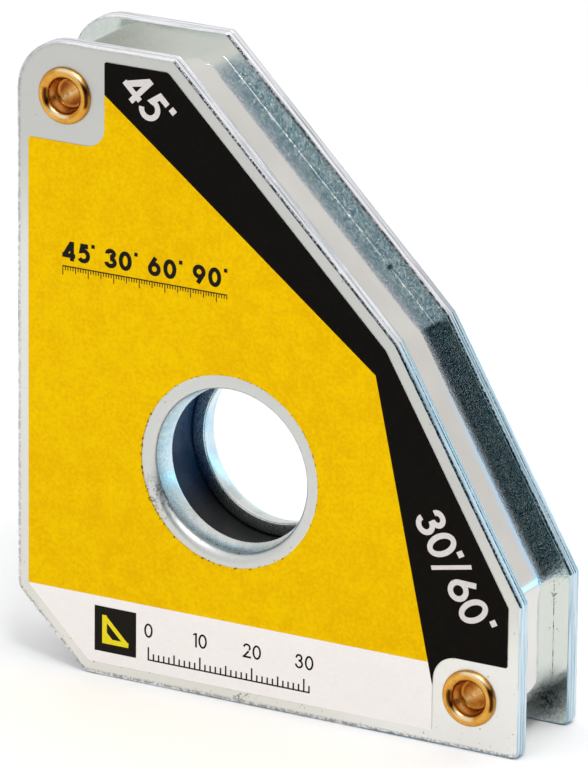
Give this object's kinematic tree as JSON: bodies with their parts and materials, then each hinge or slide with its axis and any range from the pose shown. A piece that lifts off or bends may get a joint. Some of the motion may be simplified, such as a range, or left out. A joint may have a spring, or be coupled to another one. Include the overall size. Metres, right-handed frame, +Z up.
{
  "type": "welding magnet holder",
  "caption": "Flat magnet holder that holds steel at 90, 45, 60 and 30 degrees for welding, with a finger hole and a printed label.",
  "frame": {"origin": "middle of the base, on the surface that the part stands on", "axes": "+Z up, -Y out of the labelled front plate, +X towards the side with the 45 and 60 degree edges"},
  "size_m": [0.0964, 0.023, 0.111],
  "materials": {
    "zinc_plate": "zinc plated, satin",
    "bright_strip": "bright rolled",
    "printed_vinyl": "printed film, semi-gloss",
    "rivet_brass": "polished",
    "sleeve_steel": "plain",
    "dark_liner": "smooth, semi-gloss",
    "ferrite": "sintered, matte"
  },
  "bodies": {
    "root": {"front_plate": "zinc_plate", "back_plate": "zinc_plate", "spacer_strip": "bright_strip", "front_label": "printed_vinyl", "rivet_upper_left": "rivet_brass", "rivet_lower_right": "rivet_brass", "sleeve_upper_left": "sleeve_steel", "sleeve_lower_right": "sleeve_steel", "hole_liner": "dark_liner", "magnet_left_upper": "ferrite", "magnet_left_lower": "ferrite", "magnet_base_left": "ferrite", "magnet_base_right": "ferrite", "magnet_slope_45": "ferrite", "magnet_slope_60": "ferrite"}
  },
  "joints": []
}
